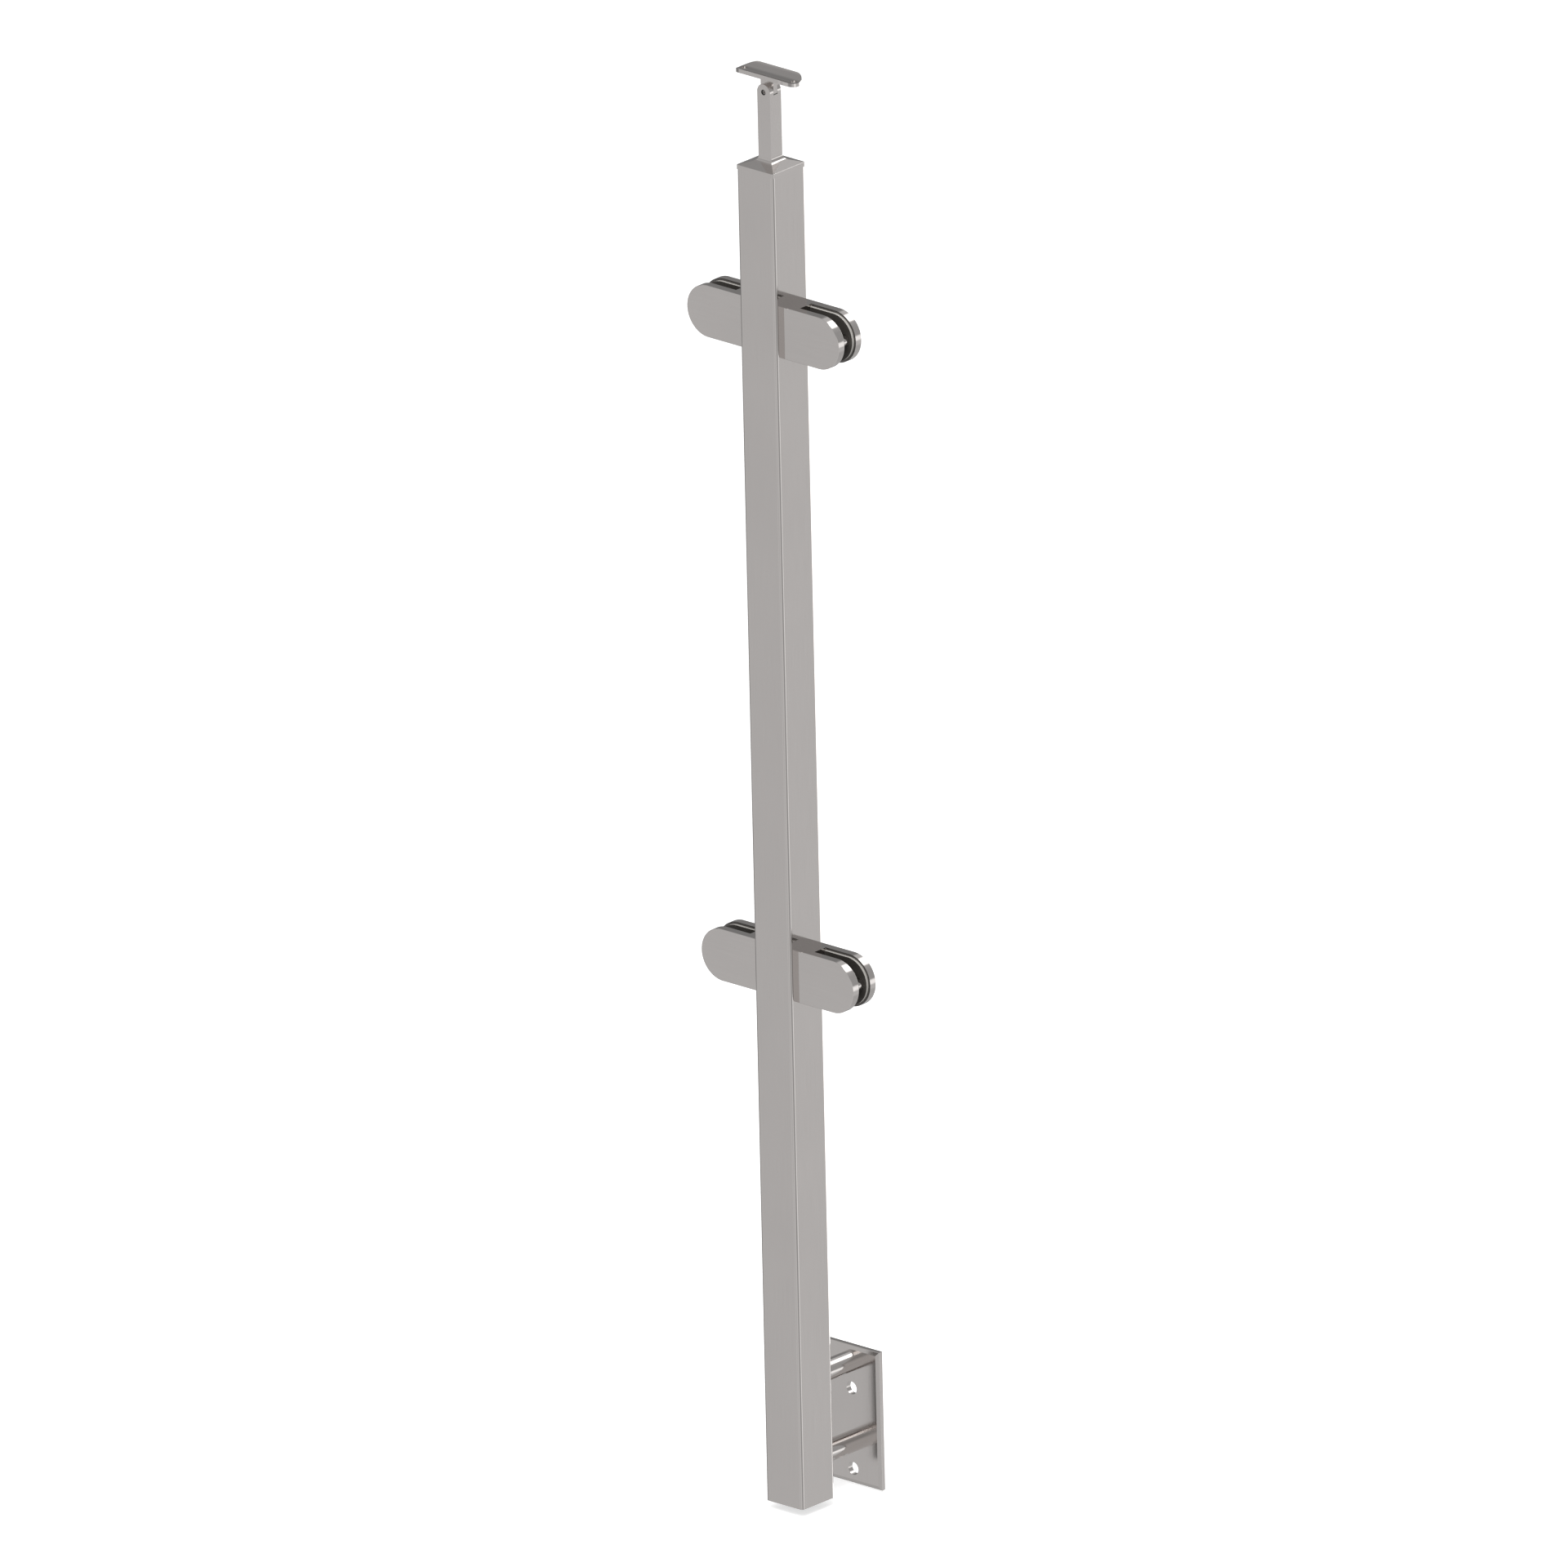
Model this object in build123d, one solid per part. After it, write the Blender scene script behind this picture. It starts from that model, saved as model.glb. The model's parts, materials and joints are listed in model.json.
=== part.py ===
from build123d import *
from math import cos, radians, sin
import os

os.makedirs("parts", exist_ok=True)

# Stainless railing post for fixing to the side of a stair or balcony slab.
# All sizes are in millimetres. X runs along the railing, +Y points at the wall and
# +Z is up. The origin is the middle of the wall plate's back face.

# Post tube, square, open at its foot
TUBE_SIDE = 40.0
TUBE_WALL = 2.0
TUBE_CORNER_R = 3.0
TUBE_BORE_CORNER_R = 1.0
TUBE_LENGTH = 1158.0

# Wall bracket: a plate on the wall and two round bars that stand the tube off it
PLATE_WIDTH = 60.0
PLATE_THICKNESS = 5.0
PLATE_BEVEL_WIDTH = 3.3
PLATE_BEVEL_DEPTH = 1.2
PLATE_RIM_R = 0.8
PLATE_END_MARGIN = 13.0
BAR_DIAMETER = 18.0
BAR_LENGTH = 45.0
BAR_SPACING = 70.0
WALL_HOLE_DIAMETER = 11.0
WALL_HOLE_DROP = 24.0
FOOT_BELOW_BAR = 31.5

# Top cap: a lip as wide as the tube, a low pyramid on it and a hollow plug below it
CAP_LIP_HEIGHT = 4.0
CAP_CORNER_R = 1.4
CAP_EDGE_R = 0.5
CAP_PYRAMID_MARGIN = 0.6
CAP_PYRAMID_HEIGHT = 2.8
CAP_PLUG_DEPTH = 14.0
CAP_PLUG_WALL = 3.0
CAP_PLUG_CLEARANCE = 0.15

# Handrail stem: a square bar with a flared foot and a forked head
STEM_SIDE = 14.0
STEM_EDGE_R = 0.3
STEM_FOOT_BAND = 0.2
STEM_FLARE_R = 4.0
STEM_FLARE_ANGLE = 73.0
PIVOT_ABOVE_CAP = 60.5
FORK_SLOT = 5.0
FORK_POCKET_CLEARANCE = 0.3

# Low-head screw that holds the stem to the cap from inside the tube
STEM_BOLT_DIAMETER = 8.0
STEM_BOLT_GRIP = 16.0
STEM_BOLT_HEAD_DIAMETER = 13.0
STEM_BOLT_HEAD_HEIGHT = 5.0
STEM_BOLT_SOCKET = 5.0
STEM_BOLT_END_CLEARANCE = 1.0

# Tilting saddle under the handrail
HANDRAIL_DIAMETER = 42.4
SADDLE_LENGTH = 64.0
SADDLE_WIDTH = 24.0
SADDLE_THICKNESS = 3.0
SADDLE_ABOVE_PIVOT = 13.4
SADDLE_HOLE_DIAMETER = 5.3
SADDLE_HOLE_END_MARGIN = 5.0
TONGUE_CLEARANCE = 0.1

# Pivot screw through the fork and the tongue
PIVOT_DIAMETER = 4.7
PIVOT_THREAD_DIAMETER = 4.0
PIVOT_RUNNING_CLEARANCE = 0.05
PIVOT_RECESS = 0.8
PIVOT_SOCKET = 2.0

# Glass clamps: two heights, left and right of the tube
CLAMP_LOWER_ABOVE_FOOT = 463.0
CLAMP_SPACING = 560.0
CLAMP_LENGTH = 63.0
CLAMP_HEIGHT = 45.0
CLAMP_PLATE = 7.0
CLAMP_GAP = 14.0
CLAMP_BASE = 15.0
CLAMP_EDGE = 0.3

# Rubber pads and the safety pin that passes through the glass
PAD_THICKNESS = 2.3
PAD_INSET = 2.0
PAD_BASE_CLEARANCE = 0.3
PIN_DIAMETER = 10.0
PIN_FROM_TUBE = 53.0
PIN_SEAT_DEPTH = 3.0
PIN_EDGE = 0.5

# Screws that close each clamp from behind
COVER_SCREW_DIAMETER = 6.0
COVER_SCREW_HEAD_DIAMETER = 10.0
COVER_SCREW_HEAD_HEIGHT = 6.0
COVER_SCREW_SOCKET = 5.0
COVER_SCREW_OFF_AXIS = 14.0
COVER_SCREW_BITE = 5.0

# Screw and rivet nut that hold each clamp on the tube wall
MOUNT_BOLT_DIAMETER = 6.0
MOUNT_BOLT_HEAD_DIAMETER = 10.0
MOUNT_BOLT_HEAD_HEIGHT = 6.0
MOUNT_BOLT_SOCKET = 5.0
MOUNT_BOLT_PAST_NUT = 1.0
NUT_BARREL_DIAMETER = 9.0
NUT_FLANGE_DIAMETER = 12.0
NUT_FLANGE_THICKNESS = 1.0
NUT_BULGE_DIAMETER = 12.0
NUT_BULGE_LENGTH = 4.0
NUT_BULGE_R = 1.2
NUT_DEPTH_INSIDE = 12.0

# Clearances and proportions that the fixed screws share
SCREW_CLEARANCE = 0.2
HEAD_CLEARANCE = 0.3
THREAD_CLEARANCE = 0.05
HEAD_RECESS = 0.5
SCREW_EDGE = 0.4
SOCKET_SHARE = 0.5

# Heights and depths worked out from the sizes above
PLATE_HEIGHT = 2 * PLATE_END_MARGIN + BAR_SPACING + WALL_HOLE_DROP
UPPER_BAR_Z = PLATE_HEIGHT / 2 - PLATE_END_MARGIN
LOWER_BAR_Z = UPPER_BAR_Z - BAR_SPACING
FOOT_Z = LOWER_BAR_Z - FOOT_BELOW_BAR
TUBE_TOP_Z = FOOT_Z + TUBE_LENGTH
TUBE_Y = -PLATE_THICKNESS - BAR_LENGTH - TUBE_SIDE / 2
CAP_THICKNESS = CAP_LIP_HEIGHT + CAP_PYRAMID_HEIGHT
STEM_FOOT_Z = TUBE_TOP_Z + CAP_THICKNESS
PIVOT_Z = STEM_FOOT_Z + PIVOT_ABOVE_CAP
LOWER_CLAMP_Z = FOOT_Z + CLAMP_LOWER_ABOVE_FOOT
UPPER_CLAMP_Z = LOWER_CLAMP_Z + CLAMP_SPACING

# Sizes that fit one piece to another
TUBE_BORE = TUBE_SIDE - 2 * TUBE_WALL
PLUG_SIDE = TUBE_BORE - 2 * CAP_PLUG_CLEARANCE
STEM_HALF = STEM_SIDE / 2
STEM_FOOT_HALF = STEM_HALF + STEM_FLARE_R * (1 - cos(radians(STEM_FLARE_ANGLE)))
FLARE_TOP = STEM_FOOT_BAND + STEM_FLARE_R * sin(radians(STEM_FLARE_ANGLE))
POCKET_R = STEM_HALF + FORK_POCKET_CLEARANCE
TONGUE_R = STEM_HALF - TONGUE_CLEARANCE
TONGUE_THICKNESS = FORK_SLOT - 2 * TONGUE_CLEARANCE
SADDLE_R = HANDRAIL_DIAMETER / 2
HANDRAIL_ABOVE_PIVOT = SADDLE_ABOVE_PIVOT + SADDLE_R
SADDLE_HOLE_X = SADDLE_LENGTH / 2 - SADDLE_HOLE_END_MARGIN
GAP_HALF = CLAMP_GAP / 2
CLAMP_HALF_DEPTH = GAP_HALF + CLAMP_PLATE
PIN_SEAT_R = PIN_DIAMETER / 2 + SCREW_CLEARANCE
COVER_SCREW_X = CLAMP_BASE / 2
COVER_HEAD_SEAT_Y = CLAMP_HALF_DEPTH - HEAD_RECESS - COVER_SCREW_HEAD_HEIGHT
MOUNT_HEAD_SEAT_X = CLAMP_BASE - HEAD_RECESS - MOUNT_BOLT_HEAD_HEIGHT
NUT_END_X = -TUBE_WALL - NUT_DEPTH_INSIDE


def cylinder_x(radius, start, end):
    """A cylinder on the X axis between two X values."""
    return Pos((start + end) / 2, 0, 0) * Cylinder(radius, end - start, rotation=(0, 90, 0))


def cylinder_y(radius, start, end):
    """A cylinder on the Y axis between two Y values."""
    return Pos(0, (start + end) / 2, 0) * Cylinder(radius, end - start, rotation=(90, 0, 0))


def block(x_span, y_span, z_span):
    """A box given by its low and high value on each axis."""
    spans = (x_span, y_span, z_span)
    middle = [(low + high) / 2 for low, high in spans]
    return Pos(*middle) * Box(*[high - low for low, high in spans])


def socket_screw(diameter, length, head_diameter, head_height, socket):
    """A socket-head screw on Z: underside of its head at Z = 0, shank below."""
    screw = Pos(0, 0, head_height / 2) * Cylinder(head_diameter / 2, head_height)
    screw += Pos(0, 0, -length / 2) * Cylinder(diameter / 2, length)
    top = screw.faces().sort_by(Axis.Z)[-1]
    tip = screw.faces().sort_by(Axis.Z)[0]
    screw = chamfer(top.edges() + tip.edges(), SCREW_EDGE)
    hexagon = RegularPolygon(socket / 2, 6, major_radius=False)
    return screw - Pos(0, 0, head_height) * extrude(hexagon, -SOCKET_SHARE * head_height)


def post_tube():
    """Square tube with a round hole in each side wall for every rivet nut."""
    outer = RectangleRounded(TUBE_SIDE, TUBE_SIDE, TUBE_CORNER_R)
    inner = RectangleRounded(TUBE_BORE, TUBE_BORE, TUBE_BORE_CORNER_R)
    tube = extrude(outer - inner, TUBE_LENGTH)
    nut_hole = cylinder_x(NUT_BARREL_DIAMETER / 2 + THREAD_CLEARANCE, -TUBE_SIDE, TUBE_SIDE)
    for clamp_z in (LOWER_CLAMP_Z, UPPER_CLAMP_Z):
        tube -= Pos(0, 0, clamp_z - FOOT_Z) * nut_hole
    return Pos(0, TUBE_Y, FOOT_Z) * tube


def wall_plate():
    """Flat plate with bevelled front edges and two fixing holes on its centre line."""
    half_width, half_height = PLATE_WIDTH / 2, PLATE_HEIGHT / 2
    plate = block((-half_width, half_width), (-PLATE_THICKNESS, 0), (-half_height, half_height))
    front = plate.faces().sort_by(Axis.Y)[0]
    plate = chamfer(front.edges(), PLATE_BEVEL_WIDTH, PLATE_BEVEL_DEPTH, reference=front)
    rim_y = PLATE_BEVEL_DEPTH - PLATE_THICKNESS
    plate = fillet(plate.edges().filter_by_position(Axis.Y, rim_y, rim_y), PLATE_RIM_R)
    hole = cylinder_y(WALL_HOLE_DIAMETER / 2, -2 * PLATE_THICKNESS, PLATE_THICKNESS)
    for bar_z in (UPPER_BAR_Z, LOWER_BAR_Z):
        plate -= Pos(0, 0, bar_z - WALL_HOLE_DROP) * hole
    return plate


def spacer_bar(height):
    """Round bar from the wall plate's front face to the back of the tube."""
    bar = cylinder_y(BAR_DIAMETER / 2, -PLATE_THICKNESS - BAR_LENGTH, -PLATE_THICKNESS)
    return Pos(0, 0, height) * bar


def top_cap():
    """Cap that closes the tube: lip, shallow pyramid and a hollow square plug."""
    lip = extrude(RectangleRounded(TUBE_SIDE, TUBE_SIDE, CAP_CORNER_R), CAP_LIP_HEIGHT)
    lip = fillet(lip.faces().sort_by(Axis.Z)[-1].edges(), CAP_EDGE_R)
    pyramid_side = TUBE_SIDE - 2 * CAP_PYRAMID_MARGIN
    pyramid_foot = RectangleRounded(pyramid_side, pyramid_side, CAP_CORNER_R - CAP_PYRAMID_MARGIN)
    pyramid_top = RectangleRounded(2 * STEM_FOOT_HALF, 2 * STEM_FOOT_HALF, STEM_EDGE_R)
    pyramid = loft([Pos(0, 0, CAP_LIP_HEIGHT) * pyramid_foot, Pos(0, 0, CAP_THICKNESS) * pyramid_top])
    hollow_side = PLUG_SIDE - 2 * CAP_PLUG_WALL
    plug = RectangleRounded(PLUG_SIDE, PLUG_SIDE, TUBE_BORE_CORNER_R)
    plug -= RectangleRounded(hollow_side, hollow_side, TUBE_BORE_CORNER_R)
    cap = lip + pyramid + extrude(plug, -CAP_PLUG_DEPTH)
    cap -= Cylinder(STEM_BOLT_DIAMETER / 2 + SCREW_CLEARANCE, 3 * CAP_THICKNESS)
    return Pos(0, TUBE_Y, TUBE_TOP_Z) * cap


def stem_profile(head):
    """Half of the stem's outline seen square on, closed by its head and mirrored."""
    foot = STEM_FOOT_HALF
    flare = CenterArc((STEM_HALF + STEM_FLARE_R, FLARE_TOP), STEM_FLARE_R, 180, STEM_FLARE_ANGLE)
    outline = Line((0, 0), (foot, 0)) + Line((foot, 0), (foot, STEM_FOOT_BAND)) + flare
    outline += Line((STEM_HALF, FLARE_TOP), (STEM_HALF, PIVOT_ABOVE_CAP)) + head
    outline += Line((0, PIVOT_ABOVE_CAP + STEM_HALF), (0, 0))
    half = make_face(outline)
    return half + mirror(half, about=Plane.YZ)


def handrail_stem():
    """Square stem with a flared foot, whose forked head carries the saddle's tongue."""
    head_top = PIVOT_ABOVE_CAP + STEM_HALF
    round_head = CenterArc((0, PIVOT_ABOVE_CAP), STEM_HALF, 0, 90)
    square_head = Line((STEM_HALF, PIVOT_ABOVE_CAP), (STEM_HALF, head_top))
    square_head += Line((STEM_HALF, head_top), (0, head_top))
    seen_from_front = extrude(Plane.XZ * stem_profile(round_head), STEM_FOOT_HALF, both=True)
    seen_from_side = extrude(Plane.YZ * stem_profile(square_head), STEM_FOOT_HALF, both=True)
    stem = seen_from_front & seen_from_side
    corners = stem.edges().filter_by(Axis.Z).filter_by(lambda edge: edge.length > STEM_SIDE)
    stem = fillet(corners, STEM_EDGE_R)

    slot = block((-STEM_SIDE, STEM_SIDE), (-FORK_SLOT / 2, FORK_SLOT / 2), (0, STEM_SIDE))
    slot += cylinder_y(POCKET_R, -FORK_SLOT / 2, FORK_SLOT / 2)
    slot += cylinder_y(PIVOT_DIAMETER / 2 + PIVOT_RUNNING_CLEARANCE, -STEM_SIDE, 0)
    slot += cylinder_y(PIVOT_THREAD_DIAMETER / 2 + THREAD_CLEARANCE, 0, STEM_SIDE)
    stem -= Pos(0, 0, PIVOT_ABOVE_CAP) * slot

    bolt_depth = STEM_BOLT_GRIP + STEM_BOLT_END_CLEARANCE
    thread_r = STEM_BOLT_DIAMETER / 2 + THREAD_CLEARANCE
    stem -= Pos(0, 0, bolt_depth / 2) * Cylinder(thread_r, bolt_depth)
    return Pos(0, TUBE_Y, STEM_FOOT_Z) * stem


def stem_bolt():
    """Screw from inside the cap up into the stem, its head in the cap's hollow plug."""
    screw = socket_screw(
        STEM_BOLT_DIAMETER,
        CAP_THICKNESS + STEM_BOLT_GRIP,
        STEM_BOLT_HEAD_DIAMETER,
        STEM_BOLT_HEAD_HEIGHT,
        STEM_BOLT_SOCKET,
    )
    return Pos(0, TUBE_Y, TUBE_TOP_Z) * Rot(180, 0, 0) * screw


def saddle_tongue():
    """Flat tongue, round about the pivot, that ends on the underside of the saddle."""
    half_thickness = TONGUE_THICKNESS / 2
    tongue = cylinder_y(TONGUE_R, -half_thickness, half_thickness)
    tongue += block(
        (-TONGUE_R, TONGUE_R), (-half_thickness, half_thickness), (0, HANDRAIL_ABOVE_PIVOT)
    )
    underside = cylinder_x(SADDLE_R + SADDLE_THICKNESS, -STEM_SIDE, STEM_SIDE)
    tongue -= Pos(0, 0, HANDRAIL_ABOVE_PIVOT) * underside
    tongue -= cylinder_y(PIVOT_DIAMETER / 2 + PIVOT_RUNNING_CLEARANCE, -STEM_SIDE, STEM_SIDE)
    return Pos(0, TUBE_Y, PIVOT_Z) * tongue


def saddle_plate():
    """Round-ended strip bent to the handrail's curve, with a screw hole near each end."""
    shell = cylinder_x(SADDLE_R + SADDLE_THICKNESS, -SADDLE_LENGTH, SADDLE_LENGTH)
    shell -= cylinder_x(SADDLE_R, -SADDLE_LENGTH, SADDLE_LENGTH)
    outline = extrude(SlotOverall(SADDLE_LENGTH, SADDLE_WIDTH), -SADDLE_R - SADDLE_THICKNESS)
    for x in (-SADDLE_HOLE_X, SADDLE_HOLE_X):
        outline -= Pos(x, 0, 0) * Cylinder(SADDLE_HOLE_DIAMETER / 2, 3 * SADDLE_R)
    return Pos(0, TUBE_Y, PIVOT_Z + HANDRAIL_ABOVE_PIVOT) * (shell & outline)


def pivot_screw():
    """Shoulder screw: plain through the front ear and tongue, threaded in the rear ear."""
    front = PIVOT_RECESS - STEM_HALF
    screw = cylinder_y(PIVOT_DIAMETER / 2, front, FORK_SLOT / 2)
    screw += cylinder_y(PIVOT_THREAD_DIAMETER / 2, FORK_SLOT / 2, STEM_HALF - PIVOT_RECESS)
    hexagon = Plane.XZ * RegularPolygon(PIVOT_SOCKET / 2, 6, major_radius=False)
    screw -= Pos(0, front, 0) * extrude(hexagon, -PIVOT_SOCKET)
    return Pos(0, TUBE_Y, PIVOT_Z) * screw


def clamp_prism(y_low, y_high, start=0.0, inset=0.0):
    """The clamp's outline, square at the tube and round outside, as a slice in Y."""
    round_x = CLAMP_LENGTH - CLAMP_HEIGHT / 2
    radius = CLAMP_HEIGHT / 2 - inset
    outline = Pos((start + round_x) / 2, 0) * Rectangle(round_x - start, 2 * radius)
    outline += Pos(round_x, 0) * Circle(radius)
    return Pos(0, y_high, 0) * extrude(Plane.XZ * outline, y_high - y_low)


def soften_rim(face):
    """Chamfer a clamp plate's outer rim, but not the edge that meets the tube."""
    rim = face.edges().filter_by(lambda edge: edge.center().X > CLAMP_EDGE)
    return chamfer(rim, CLAMP_EDGE)


def at_cover_screws(shape):
    """Two copies of a shape, one at each cover screw."""
    return [
        Pos(COVER_SCREW_X, 0, z) * shape for z in (-COVER_SCREW_OFF_AXIS, COVER_SCREW_OFF_AXIS)
    ]


def clamp_body():
    """Rear clamp plate in one piece with the base block that sits on the tube."""
    plate = clamp_prism(GAP_HALF, CLAMP_HALF_DEPTH)
    plate = soften_rim(plate.faces().sort_by(Axis.Y)[-1])
    half_height = CLAMP_HEIGHT / 2
    body = plate + block((0, CLAMP_BASE), (-GAP_HALF, GAP_HALF), (-half_height, half_height))
    body -= cylinder_x(MOUNT_BOLT_DIAMETER / 2 + SCREW_CLEARANCE, 0, CLAMP_BASE)
    head_r = MOUNT_BOLT_HEAD_DIAMETER / 2 + HEAD_CLEARANCE
    body -= cylinder_x(head_r, MOUNT_HEAD_SEAT_X, CLAMP_BASE)
    flange_r = NUT_FLANGE_DIAMETER / 2 + HEAD_CLEARANCE
    body -= cylinder_x(flange_r, 0, NUT_FLANGE_THICKNESS + THREAD_CLEARANCE)
    screw_way = cylinder_y(
        COVER_SCREW_DIAMETER / 2 + SCREW_CLEARANCE, -GAP_HALF, CLAMP_HALF_DEPTH
    )
    screw_way += cylinder_y(
        COVER_SCREW_HEAD_DIAMETER / 2 + HEAD_CLEARANCE, COVER_HEAD_SEAT_Y, CLAMP_HALF_DEPTH
    )
    for hole in at_cover_screws(screw_way):
        body -= hole
    seat = cylinder_y(PIN_SEAT_R, GAP_HALF, GAP_HALF + PIN_SEAT_DEPTH)
    return body - Pos(PIN_FROM_TUBE, 0, 0) * seat


def clamp_cover():
    """Front clamp plate with blind holes for its screws and the safety pin."""
    cover = clamp_prism(-CLAMP_HALF_DEPTH, -GAP_HALF)
    cover = soften_rim(cover.faces().sort_by(Axis.Y)[0])
    thread_r = COVER_SCREW_DIAMETER / 2 + THREAD_CLEARANCE
    thread_end = -GAP_HALF - COVER_SCREW_BITE - HEAD_CLEARANCE
    for hole in at_cover_screws(cylinder_y(thread_r, thread_end, -GAP_HALF)):
        cover -= hole
    seat = cylinder_y(PIN_SEAT_R, -GAP_HALF - PIN_SEAT_DEPTH, -GAP_HALF)
    return cover - Pos(PIN_FROM_TUBE, 0, 0) * seat


def clamp_pad(y_low, y_high):
    """Rubber pad, set in from the plate's rim, with a hole for the safety pin."""
    pad = clamp_prism(y_low, y_high, CLAMP_BASE + PAD_BASE_CLEARANCE, PAD_INSET)
    return pad - Pos(PIN_FROM_TUBE, 0, 0) * cylinder_y(PIN_SEAT_R, y_low, y_high)


def safety_pin():
    """Pin from plate to plate that stops the glass from sliding out."""
    end = GAP_HALF + PIN_SEAT_DEPTH - THREAD_CLEARANCE
    pin = cylinder_y(PIN_DIAMETER / 2, -end, end)
    rims = pin.edges().filter_by(GeomType.CIRCLE)
    return Pos(PIN_FROM_TUBE, 0, 0) * chamfer(rims, PIN_EDGE)


def cover_screws():
    """Two screws from the back of the clamp through its base into the cover."""
    screw = socket_screw(
        COVER_SCREW_DIAMETER,
        COVER_HEAD_SEAT_Y + GAP_HALF + COVER_SCREW_BITE,
        COVER_SCREW_HEAD_DIAMETER,
        COVER_SCREW_HEAD_HEIGHT,
        COVER_SCREW_SOCKET,
    )
    facing_back = Pos(0, COVER_HEAD_SEAT_Y, 0) * Rot(-90, 0, 0) * screw
    return Compound(children=at_cover_screws(facing_back))


def mount_bolt():
    """Screw through the base block into the rivet nut, its head below the glass."""
    screw = socket_screw(
        MOUNT_BOLT_DIAMETER,
        MOUNT_HEAD_SEAT_X - NUT_END_X + MOUNT_BOLT_PAST_NUT,
        MOUNT_BOLT_HEAD_DIAMETER,
        MOUNT_BOLT_HEAD_HEIGHT,
        MOUNT_BOLT_SOCKET,
    )
    return Pos(MOUNT_HEAD_SEAT_X, 0, 0) * Rot(0, 90, 0) * screw


def rivet_nut():
    """Threaded insert: flange outside the tube wall, folded bulge behind it."""
    bulge = cylinder_x(NUT_BULGE_DIAMETER / 2, -TUBE_WALL - NUT_BULGE_LENGTH, -TUBE_WALL)
    bulge = fillet(bulge.edges().filter_by(GeomType.CIRCLE), NUT_BULGE_R)
    nut = bulge + cylinder_x(NUT_BARREL_DIAMETER / 2, NUT_END_X, 0)
    nut += cylinder_x(NUT_FLANGE_DIAMETER / 2, 0, NUT_FLANGE_THICKNESS)
    bore_r = MOUNT_BOLT_DIAMETER / 2 + THREAD_CLEARANCE
    return nut - cylinder_x(bore_r, NUT_END_X, NUT_FLANGE_THICKNESS)


def clamp_pieces():
    """Every piece of one glass clamp, standing on the tube's right side at Z = 0."""
    return {
        "body": clamp_body(),
        "cover": clamp_cover(),
        "front_pad": clamp_pad(-GAP_HALF, PAD_THICKNESS - GAP_HALF),
        "rear_pad": clamp_pad(GAP_HALF - PAD_THICKNESS, GAP_HALF),
        "safety_pin": safety_pin(),
        "cover_screws": cover_screws(),
        "mount_bolt": mount_bolt(),
        "rivet_nut": rivet_nut(),
    }


def all_nodes():
    """Node names and shapes of the whole post."""
    nodes = {
        "post_tube": post_tube(),
        "top_cap": top_cap(),
        "handrail_stem": handrail_stem(),
        "stem_bolt": stem_bolt(),
        "saddle_tongue": saddle_tongue(),
        "saddle_plate": saddle_plate(),
        "pivot_screw": pivot_screw(),
        "wall_plate": wall_plate(),
        "upper_spacer_bar": spacer_bar(UPPER_BAR_Z),
        "lower_spacer_bar": spacer_bar(LOWER_BAR_Z),
    }
    # A left clamp is the same part as a right one, turned half round about Y
    turns = {"right": Pos(TUBE_SIDE / 2, 0, 0), "left": Pos(-TUBE_SIDE / 2, 0, 0) * Rot(0, 180, 0)}
    heights = {"lower": LOWER_CLAMP_Z, "upper": UPPER_CLAMP_Z}
    for piece, shape in clamp_pieces().items():
        for level, clamp_z in heights.items():
            for side, turn in turns.items():
                nodes[f"{level}_{side}_clamp_{piece}"] = Pos(0, TUBE_Y, clamp_z) * turn * shape
    return nodes


for node, shape in all_nodes().items():
    export_step(shape, f"parts/{node}.step")
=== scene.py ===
import json
import math

import bpy
from mathutils import Matrix, Vector


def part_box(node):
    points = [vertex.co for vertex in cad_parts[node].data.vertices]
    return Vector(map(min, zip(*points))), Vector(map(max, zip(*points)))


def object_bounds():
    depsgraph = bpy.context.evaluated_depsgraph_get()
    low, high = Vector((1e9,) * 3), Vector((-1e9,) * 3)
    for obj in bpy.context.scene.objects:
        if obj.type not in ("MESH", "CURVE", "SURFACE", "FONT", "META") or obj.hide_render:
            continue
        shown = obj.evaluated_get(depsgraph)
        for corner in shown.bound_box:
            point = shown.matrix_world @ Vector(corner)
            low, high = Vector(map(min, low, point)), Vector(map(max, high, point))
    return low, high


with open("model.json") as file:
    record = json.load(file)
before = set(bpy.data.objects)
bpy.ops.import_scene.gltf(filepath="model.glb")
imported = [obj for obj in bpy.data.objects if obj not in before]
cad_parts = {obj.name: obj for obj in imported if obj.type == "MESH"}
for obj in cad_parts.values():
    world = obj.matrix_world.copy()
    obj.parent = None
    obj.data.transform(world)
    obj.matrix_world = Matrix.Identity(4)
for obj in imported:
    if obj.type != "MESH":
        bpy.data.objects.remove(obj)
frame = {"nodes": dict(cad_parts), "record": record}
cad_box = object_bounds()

# The photograph's view: a parallel projection
PHOTO_WIDTH, PHOTO_HEIGHT = 1920, 1919
PIXELS_PER_METRE = 1500.0
AZIMUTH = math.radians(42.16)
ELEVATION = math.radians(20.18)
ROLL = math.radians(1.283)
ORIGIN_PIXEL = (1048.46, 1730.0)
CAMERA_DISTANCE = 4.0
CAMERA_REACH = 50.0

# Polished steel: linear colour, and the grain and clouds that vary it
STEEL = (0.640, 0.610, 0.594)
STEEL_SPREAD = 0.03
GRAIN_SCALE, GRAIN_DETAIL = 900.0, 3.0
CLOUD_SCALE, CLOUD_DETAIL = 14.0, 2.0
GRAIN_RELIEF, GRAIN_DEPTH = 0.03, 0.0002
GRAIN_ROUGHNESS = (0.8, 1.3)
NOISE_LOW, NOISE_HIGH = 0.25, 0.75

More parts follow.
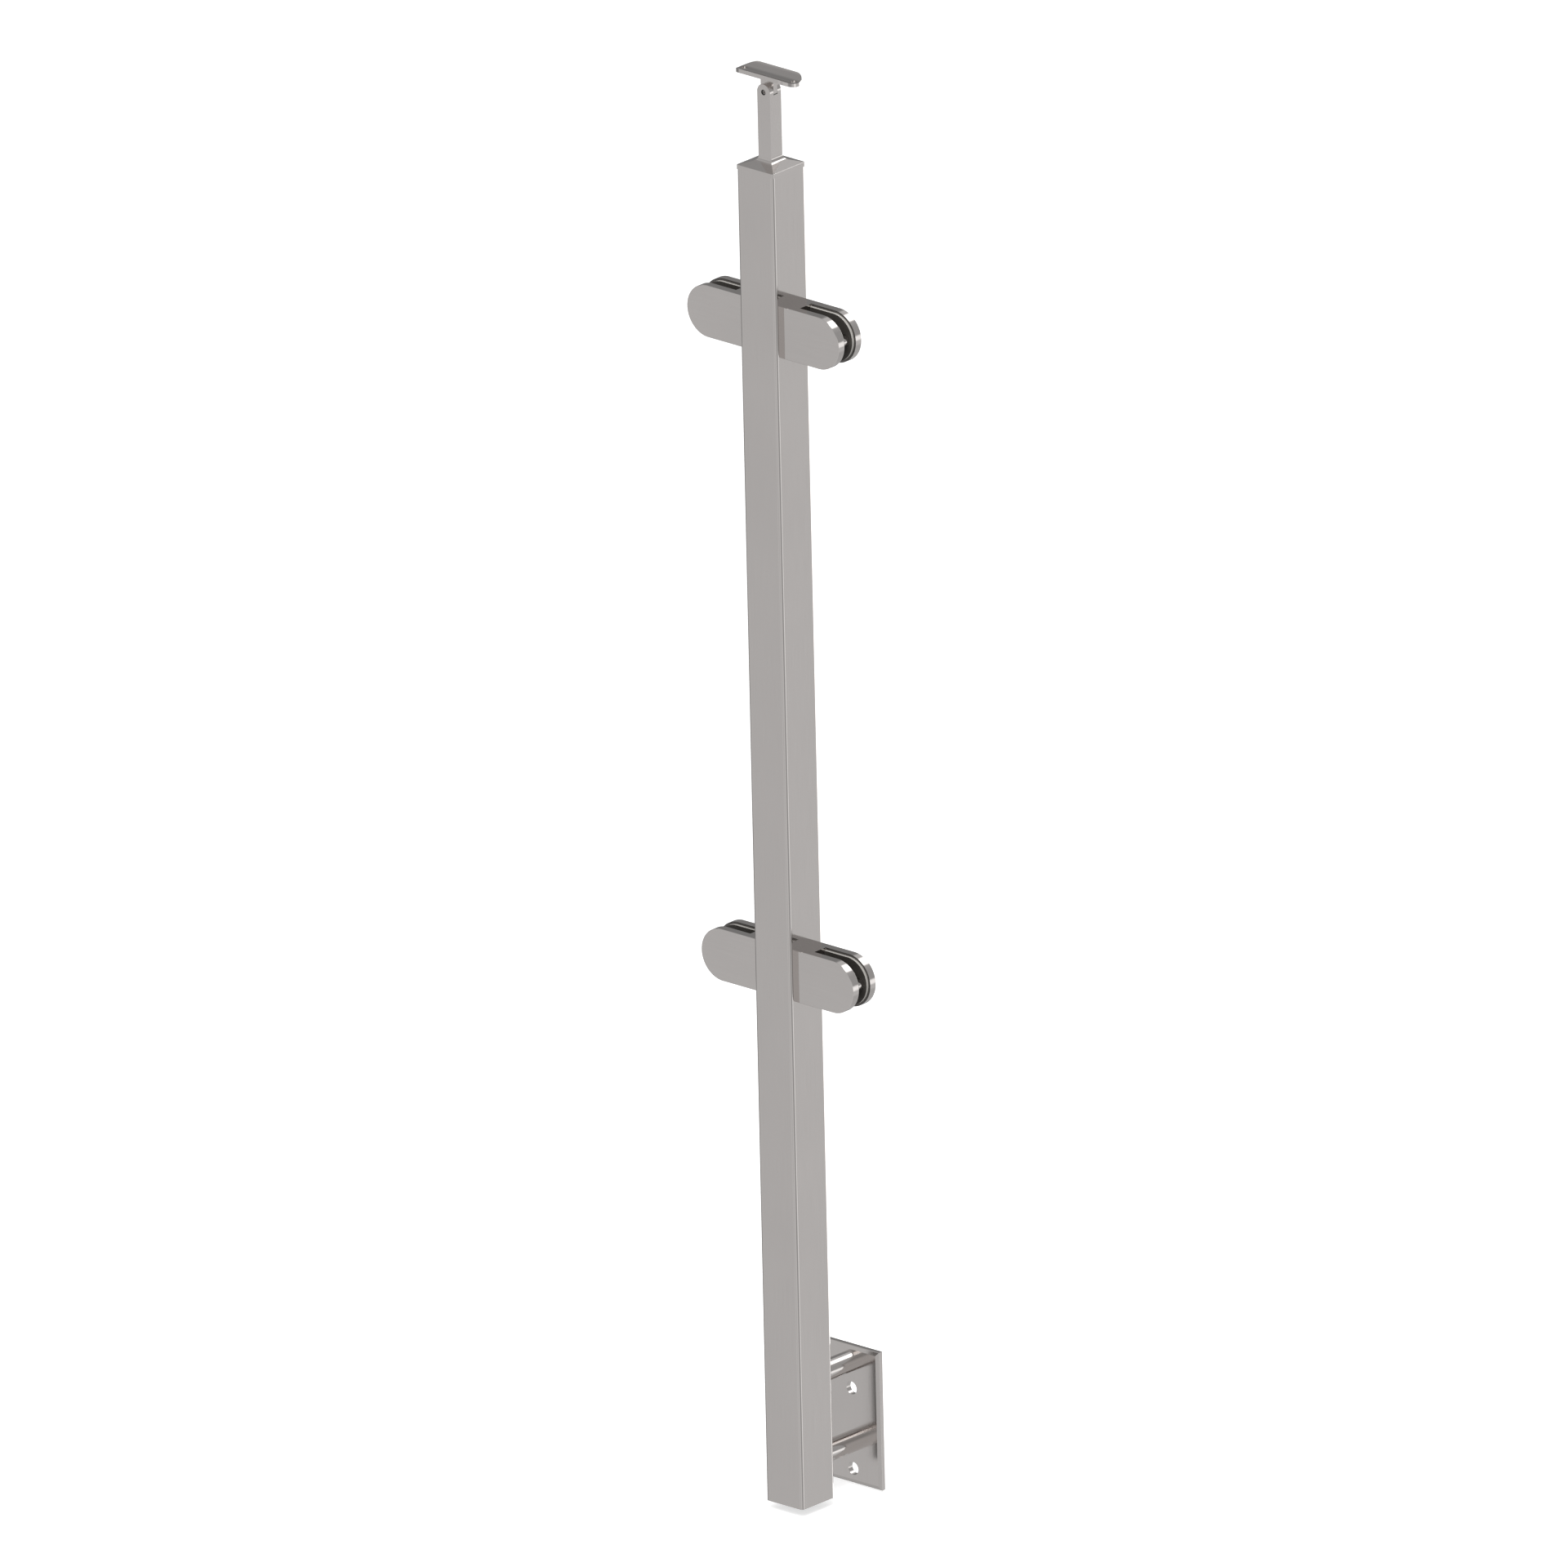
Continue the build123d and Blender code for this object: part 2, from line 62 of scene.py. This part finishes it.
# Stretches that draw the grain out along one direction, or leave it even
ALONG_X = (0.03, 1.0, 1.0)
ALONG_Y = (1.0, 0.03, 1.0)
ALONG_Z = (1.0, 1.0, 0.03)
EVEN = (1.0, 1.0, 1.0)

# Roughness of each finish, and the tone of the duller screws
POLISHED_ROUGHNESS = 0.085
CAST_ROUGHNESS = 0.11
PLATE_ROUGHNESS = 0.14
TURNED_ROUGHNESS = 0.08
SCREW_ROUGHNESS = 0.16
SCREW_TONE = 0.9

# Moulded rubber: linear colours of its faces, darkened with painted shade, and of its rims, made paler
# with painted light, and its skin
RUBBER_SHADED_FACE = (0.055, 0.050, 0.045)
RUBBER_LIT_RIM = (0.52, 0.50, 0.47)
RUBBER_SPREAD = 0.15
RUBBER_ROUGHNESS = (0.45, 0.6)
PEBBLE_SCALE, PEBBLE_DETAIL = 1400.0, 2.0
SMUDGE_SCALE, SMUDGE_DETAIL = 60.0, 3.0
PEBBLE_RELIEF, PEBBLE_DEPTH = 0.3, 0.0001

# Painted shade on the faces inside the glass slots, which are also rougher: how far past the pads it
# reaches, in metres
SLOT_PAST_PAD_FACE = 0.00005
SLOT_FROM_PAD_START = 0.0002
SLOT_PAST_PAD_END = 0.0045
SLOT_SHADE_TONE, SLOT_ROUGHNESS = 0.3, 0.45

# Painted shade of the pivot screw's recess: a dark ring round its middle, in metres
RING_INNER_R, RING_OUTER_R = 0.00133, 0.00237
RING_SHADE_TONE, RING_ROUGHNESS = 0.12, 0.35

# Studio that lights the post and shows in its steel. Bands from straight down to straight
# up: sine of the elevation and level. Then patches: direction in the part's frame, level,
# and the angles from it, in degrees, where a patch starts to fade and has gone
STUDIO_BANDS = [
    (-1.00, 0.50), (-0.56, 0.52), (-0.40, 0.62), (-0.22, 0.62), (-0.10, 0.45), (0.05, 0.42),
    (0.45, 0.42), (0.60, 0.50), (1.00, 0.60),
]
STUDIO_PATCHES = [
    ((0.35, -0.75, -0.55), 0.70, 42, 58),
    ((-0.63, -0.76, 0.15), 0.62, 12, 22),
    ((-0.03, -0.94, -0.34), 0.60, 6, 14),
    ((-0.66, 0.42, 0.62), 0.37, 15, 32),
    ((-0.70, 0.68, 0.10), 0.25, 20, 34),
    ((-0.63, 0.70, -0.36), 0.14, 9, 18),
    ((0.63, 0.70, -0.345), 0.665, 6, 14),
    ((-0.92, -0.15, -0.36), 0.27, 7, 19),
    ((-0.75, 0.30, -0.60), 0.22, 6, 20),
    ((0.84, -0.42, -0.34), 0.38, 9, 17),
    ((0.70, 0.70, -0.17), 1.30, 2, 10),
    ((0.90, 0.27, -0.34), 1.15, 3, 12),
    ((0.05, 0.94, -0.33), 2.20, 20, 25),
    ((-0.30, 0.70, 0.65), 0.64, 4, 12),
    ((0.10, 0.70, 0.72), 2.60, 5, 17),
    ((0.17, -0.70, 0.69), 2.00, 5, 11),
]

# Floor under the post and the lamp above it, in metres and watts
FLOOR_DROP = 0.0015
FLOOR_SIDE = 14.0
FLOOR_TONE = 0.8
FLOOR_GLOW = 0.65
LAMP_DIRECTION = (0.3, -0.5, 0.9)
LAMP_DISTANCE = 3.0
LAMP_TARGET_HEIGHT = 0.6
LAMP_SIDE = 2.0
LAMP_WATTS = 60.0


def grey(level):
    """An opaque grey."""
    return (level, level, level, 1)


def scaled(colour, factor):
    """A linear colour made darker or lighter, opaque."""
    return tuple(factor * c for c in colour) + (1,)


def feed(links, socket, value):
    """Link a node's output to a socket, or set the socket to a fixed value."""
    if isinstance(value, bpy.types.NodeSocket):
        links.new(value, socket)
    else:
        socket.default_value = value


def compute(nodes, links, operation, *values):
    """Result of a Math node."""
    node = nodes.new("ShaderNodeMath")
    node.operation = operation
    for socket, value in zip(node.inputs, values):
        feed(links, socket, value)
    return node.outputs[0]


def mix(nodes, links, factor, low, high, kind="RGBA"):
    """Low where the factor is 0, high where it is 1: colours, or numbers if the kind is FLOAT."""
    node = nodes.new("ShaderNodeMix")
    node.data_type = kind
    for name, value in (("Factor", factor), ("A", low), ("B", high)):
        feed(links, node.inputs[name], value)
    return node.outputs["Result"]


def dot(nodes, links, vector, direction):
    """Dot product of a vector with a fixed direction."""
    node = nodes.new("ShaderNodeVectorMath")
    node.operation = "DOT_PRODUCT"
    node.inputs[1].default_value = direction
    links.new(vector, node.inputs[0])
    return node.outputs["Value"]


def split_axes(nodes, links, vector):
    """X, Y and Z of a vector."""
    node = nodes.new("ShaderNodeSeparateXYZ")
    links.new(vector, node.inputs["Vector"])
    return node.outputs


def noise(nodes, links, place, scale, detail, stretch=EVEN):
    """A noise pattern in object space, stretched along the given axes."""
    mapping = nodes.new("ShaderNodeMapping")
    mapping.inputs["Scale"].default_value = stretch
    links.new(place, mapping.inputs["Vector"])
    texture = nodes.new("ShaderNodeTexNoise")
    texture.inputs["Scale"].default_value = scale
    texture.inputs["Detail"].default_value = detail
    links.new(mapping.outputs["Vector"], texture.inputs["Vector"])
    return texture.outputs["Fac"]


def remap(nodes, links, pattern, low, high):
    """The middle half of a noise pattern spread over the range low to high."""
    node = nodes.new("ShaderNodeMapRange")
    node.inputs["From Min"].default_value = NOISE_LOW
    node.inputs["From Max"].default_value = NOISE_HIGH
    node.inputs["To Min"].default_value = low
    node.inputs["To Max"].default_value = high
    links.new(pattern, node.inputs["Value"])
    return node.outputs["Result"]


def relief(nodes, links, shader, height, strength, depth):
    """Fine bumps on a shader from a pattern of heights."""
    bump = nodes.new("ShaderNodeBump")
    bump.inputs["Strength"].default_value = strength
    bump.inputs["Distance"].default_value = depth
    links.new(height, bump.inputs["Height"])
    links.new(bump.outputs["Normal"], shader.inputs["Normal"])


def new_material(name):
    """An empty node material, with its nodes and links."""
    material = bpy.data.materials.new(name)
    material.use_nodes = True
    nodes = material.node_tree.nodes
    nodes.clear()
    return material, nodes, material.node_tree.links


def new_surface(name):
    """A node material with a Principled shader, and the place on the surface in the part's frame."""
    material, nodes, links = new_material(name)
    output = nodes.new("ShaderNodeOutputMaterial")
    shader = nodes.new("ShaderNodeBsdfPrincipled")
    links.new(shader.outputs["BSDF"], output.inputs["Surface"])
    place = nodes.new("ShaderNodeTexCoord").outputs["Object"]
    return material, nodes, links, shader, place


def steel(name, stretch, roughness=POLISHED_ROUGHNESS, tone=1.0, painted_shade=None):
    """Polished stainless steel with a fine grain drawn out along one direction.

    The last argument paints shade: a function that makes a mask, and the darker tone and the roughness
    where the mask is 1.
    """
    material, nodes, links, shader, place = new_surface(name)
    shader.inputs["Metallic"].default_value = 1.0
    grain = noise(nodes, links, place, GRAIN_SCALE, GRAIN_DETAIL, stretch)
    cloud = noise(nodes, links, place, CLOUD_SCALE, CLOUD_DETAIL)
    dark = scaled(STEEL, (1 - STEEL_SPREAD) * tone)
    light = scaled(STEEL, (1 + STEEL_SPREAD) * tone)
    grain_half = remap(nodes, links, grain, 0.0, 0.5)
    cloud_half = remap(nodes, links, cloud, 0.0, 0.5)
    both = compute(nodes, links, "ADD", grain_half, cloud_half)
    both.node.use_clamp = True
    colour = mix(nodes, links, both, dark, light)
    smooth, coarse = GRAIN_ROUGHNESS
    polish = remap(nodes, links, grain, smooth * roughness, coarse * roughness)
    # Painted shade: where the mask is 1, a darker tone and its own roughness
    if painted_shade:
        make_shade_mask, shade_tone, shade_roughness = painted_shade
        shade_mask = make_shade_mask(nodes, links, split_axes(nodes, links, place))
        colour = mix(nodes, links, shade_mask, colour, scaled(STEEL, shade_tone))
        polish = mix(nodes, links, shade_mask, polish, shade_roughness, "FLOAT")
    links.new(colour, shader.inputs["Base Color"])
    links.new(polish, shader.inputs["Roughness"])
    relief(nodes, links, shader, grain, GRAIN_RELIEF, GRAIN_DEPTH)
    return material


def between(nodes, links, value, low, high):
    """1 where a value lies between low and high, else 0."""
    return compute(nodes, links, "COMPARE", value, (low + high) / 2, (high - low) / 2)


def slot_shade_mask(nodes, links, axes):
    """1 on the clamp faces inside a glass slot, on either side of the post, where shade is painted, else
    0.
    """
    pad_low, pad_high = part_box("upper_right_clamp_front_pad")
    rear_pad_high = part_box("upper_right_clamp_rear_pad")[1]
    front = pad_low[1] - SLOT_PAST_PAD_FACE
    rear = rear_pad_high[1] + SLOT_PAST_PAD_FACE
    start = pad_low[0] + SLOT_FROM_PAD_START
    end = pad_high[0] + SLOT_PAST_PAD_END
    out = compute(nodes, links, "ABSOLUTE", axes["X"])
    across = between(nodes, links, axes["Y"], front, rear)
    along = between(nodes, links, out, start, end)
    return compute(nodes, links, "MULTIPLY", across, along)


def ring_shade_mask(nodes, links, axes):
    """1 on a ring about the pivot's axis, where shade is painted, else 0."""
    pivot_x, _, pivot_z = frame["record"]["behaviour"]["joints"][0]["pos_m"]
    off_x = compute(nodes, links, "SUBTRACT", axes["X"], pivot_x)
    off_z = compute(nodes, links, "SUBTRACT", axes["Z"], pivot_z)
    square_x = compute(nodes, links, "MULTIPLY", off_x, off_x)
    square_z = compute(nodes, links, "MULTIPLY", off_z, off_z)
    total = compute(nodes, links, "ADD", square_x, square_z)
    radius = compute(nodes, links, "SQRT", total)
    return between(nodes, links, radius, RING_INNER_R, RING_OUTER_R)


def rubber(name):
    """Moulded rubber with a fine pebbled skin, its faces painted dark as shade and its rims painted pale
    as lit.
    """
    material, nodes, links, shader, place = new_surface(name)
    pebbles = noise(nodes, links, place, PEBBLE_SCALE, PEBBLE_DETAIL)
    smudges = noise(nodes, links, place, SMUDGE_SCALE, SMUDGE_DETAIL)
    dark = scaled(RUBBER_SHADED_FACE, 1 - RUBBER_SPREAD)
    light = scaled(RUBBER_SHADED_FACE, 1 + RUBBER_SPREAD)
    tint = mix(nodes, links, remap(nodes, links, smudges, 0.0, 1.0), dark, light)
    # Faces that look along Y get painted shade, and the rims get a painted, lit paleness
    normal = nodes.new("ShaderNodeNewGeometry").outputs["True Normal"]
    shaded_face = compute(nodes, links, "ABSOLUTE", dot(nodes, links, normal, (0, 1, 0)))
    colour = mix(nodes, links, shaded_face, scaled(RUBBER_LIT_RIM, 1), tint)
    links.new(colour, shader.inputs["Base Color"])
    links.new(remap(nodes, links, smudges, *RUBBER_ROUGHNESS), shader.inputs["Roughness"])
    relief(nodes, links, shader, pebbles, PEBBLE_RELIEF, PEBBLE_DEPTH)
    return material


def dress_nodes():
    """Give every CAD node the finish that the record names for it."""
    finishes = {
        "tube_steel": steel("tube_steel", ALONG_Z),
        "cast_steel": steel("cast_steel", EVEN, CAST_ROUGHNESS),
        "saddle_steel": steel("saddle_steel", ALONG_X),
        "plate_steel": steel("plate_steel", ALONG_Z, PLATE_ROUGHNESS),
        # The faces inside the clamps' glass slots get painted shade
        "clamp_steel": steel("clamp_steel", ALONG_X, painted_shade=(slot_shade_mask, SLOT_SHADE_TONE, SLOT_ROUGHNESS)),
        "turned_steel": steel("turned_steel", ALONG_Y, TURNED_ROUGHNESS),
        "fastener_steel": steel("fastener_steel", EVEN, SCREW_ROUGHNESS, SCREW_TONE),
        "pad_rubber": rubber("pad_rubber"),
    }
    slots = {row["node"]: row["material_slot"] for row in frame["record"]["subparts"]}
    for node, obj in frame["nodes"].items():
        obj.data.materials.clear()
        obj.data.materials.append(finishes[slots[node]])
    # The dark ring on the pivot screw is painted shade of its recess
    ring = (ring_shade_mask, RING_SHADE_TONE, RING_ROUGHNESS)
    pivot_steel = steel("pivot_steel", EVEN, SCREW_ROUGHNESS, SCREW_TONE, ring)
    frame["nodes"]["pivot_screw"].data.materials[0] = pivot_steel


def camera_axes():
    """The camera's right, up and back directions in the part's frame."""
    sin_a, cos_a = math.sin(AZIMUTH), math.cos(AZIMUTH)
    sin_e, cos_e = math.sin(ELEVATION), math.cos(ELEVATION)
    level_right = Vector((cos_a, sin_a, 0))
    level_up = Vector((-sin_a * sin_e, cos_a * sin_e, cos_e))
    back = Vector((sin_a * cos_e, -cos_a * cos_e, sin_e))
    right = math.cos(ROLL) * level_right - math.sin(ROLL) * level_up
    up = math.sin(ROLL) * level_right + math.cos(ROLL) * level_up
    return right, up, back


def add_camera():
    """Parallel-projection camera that puts the part's origin on its photo pixel."""
    right, up, back = camera_axes()
    off_right = (ORIGIN_PIXEL[0] - PHOTO_WIDTH / 2) / PIXELS_PER_METRE
    off_down = (ORIGIN_PIXEL[1] - PHOTO_HEIGHT / 2) / PIXELS_PER_METRE
    data = bpy.data.cameras.new("camera")
    data.type = "ORTHO"
    data.ortho_scale = PHOTO_WIDTH / PIXELS_PER_METRE
    data.clip_end = CAMERA_REACH
    camera = bpy.data.objects.new("camera", data)
    place = off_down * up - off_right * right + CAMERA_DISTANCE * back
    turn = Matrix((right, up, back)).transposed().to_4x4()
    camera.matrix_world = Matrix.Translation(place) @ turn
    bpy.context.collection.objects.link(camera)
    bpy.context.scene.camera = camera


def add_lamp():
    """Large soft lamp above, which lights the matte rubber and the floor."""
    direction = Vector(LAMP_DIRECTION).normalized()
    data = bpy.data.lights.new("lamp", "AREA")
    data.shape = "SQUARE"
    data.size = LAMP_SIDE
    data.energy = LAMP_WATTS
    lamp = bpy.data.objects.new("lamp", data)
    lamp.location = LAMP_DISTANCE * direction + Vector((0, 0, LAMP_TARGET_HEIGHT))
    lamp.rotation_euler = direction.to_track_quat("Z", "Y").to_euler()
    lamp.visible_glossy = False
    bpy.context.collection.objects.link(lamp)


def seen_directly(nodes, links):
    """1 for what the camera sees, also through glass, and 0 in light and reflections."""
    path = nodes.new("ShaderNodeLightPath").outputs
    return compute(nodes, links, "MAXIMUM", path["Is Camera Ray"], path["Is Transmission Ray"])


def studio_bands(nodes, links, direction):
    """Level of the studio by elevation alone, as a ramp over the direction's height."""
    spread = nodes.new("ShaderNodeMapRange")
    spread.inputs["From Min"].default_value = -1.0
    links.new(split_axes(nodes, links, direction)["Z"], spread.inputs["Value"])
    ramp = nodes.new("ShaderNodeValToRGB")
    elements = ramp.color_ramp.elements
    for index, (height, level) in enumerate(STUDIO_BANDS):
        place = (height + 1) / 2
        element = elements[index] if index < 2 else elements.new(place)
        element.position = place
        element.color = grey(level)
    links.new(spread.outputs["Result"], ramp.inputs["Fac"])
    return ramp.outputs["Color"]


def studio_patch(nodes, links, direction, middle, inner, outer):
    """1 near a direction, falling smoothly to 0 between two angles in degrees."""
    ramp = nodes.new("ShaderNodeMapRange")
    ramp.interpolation_type = "SMOOTHSTEP"
    ramp.inputs["From Min"].default_value = math.cos(math.radians(outer))
    ramp.inputs["From Max"].default_value = math.cos(math.radians(inner))
    links.new(dot(nodes, links, direction, Vector(middle).normalized()), ramp.inputs["Value"])
    return ramp.outputs["Result"]


def add_world():
    """Soft pale studio with darker and brighter parts, white to the camera."""
    world = bpy.data.worlds.new("studio")
    world.use_nodes = True
    bpy.context.scene.world = world
    nodes, links = world.node_tree.nodes, world.node_tree.links
    nodes.clear()
    direction = nodes.new("ShaderNodeTexCoord").outputs["Generated"]
    level = studio_bands(nodes, links, direction)
    for middle, target, inner, outer in STUDIO_PATCHES:
        patch = studio_patch(nodes, links, direction, middle, inner, outer)
        level = mix(nodes, links, patch, level, target, "FLOAT")
    studio = nodes.new("ShaderNodeBackground")
    links.new(level, studio.inputs["Strength"])
    studio.inputs["Color"].default_value = grey(1)
    white = nodes.new("ShaderNodeBackground")
    white.inputs["Color"].default_value = grey(1)
    choose = nodes.new("ShaderNodeMixShader")
    links.new(seen_directly(nodes, links), choose.inputs["Fac"])
    links.new(studio.outputs["Background"], choose.inputs[1])
    links.new(white.outputs["Background"], choose.inputs[2])
    output = nodes.new("ShaderNodeOutputWorld")
    links.new(choose.outputs["Shader"], output.inputs["Surface"])


def floor_finish():
    """Matte and pale, so that it takes a shadow, and lifted to white where the camera sees it."""
    material, nodes, links = new_material("floor")
    output = nodes.new("ShaderNodeOutputMaterial")
    matte = nodes.new("ShaderNodeBsdfDiffuse")
    matte.inputs["Color"].default_value = grey(FLOOR_TONE)
    level = compute(nodes, links, "MULTIPLY", seen_directly(nodes, links), FLOOR_GLOW)
    glow = nodes.new("ShaderNodeEmission")
    links.new(level, glow.inputs["Strength"])
    both = nodes.new("ShaderNodeAddShader")
    links.new(matte.outputs["BSDF"], both.inputs[0])
    links.new(glow.outputs["Emission"], both.inputs[1])
    links.new(both.outputs["Shader"], output.inputs["Surface"])
    return material


def add_floor():
    """Plain white floor with the post's soft shadow. The steel mirrors the studio instead."""
    half = FLOOR_SIDE / 2
    height = cad_box[0][2] - FLOOR_DROP
    mesh = bpy.data.meshes.new("floor")
    corners = [(-half, -half, height), (half, -half, height), (half, half, height), (-half, half, height)]
    mesh.from_pydata(corners, [], [(0, 1, 2, 3)])
    mesh.materials.append(floor_finish())
    floor = bpy.data.objects.new("floor", mesh)
    bpy.context.collection.objects.link(floor)
    floor.visible_glossy = False


bpy.context.scene.view_settings.view_transform = "Standard"
add_camera()
add_lamp()
add_world()
add_floor()
dress_nodes()
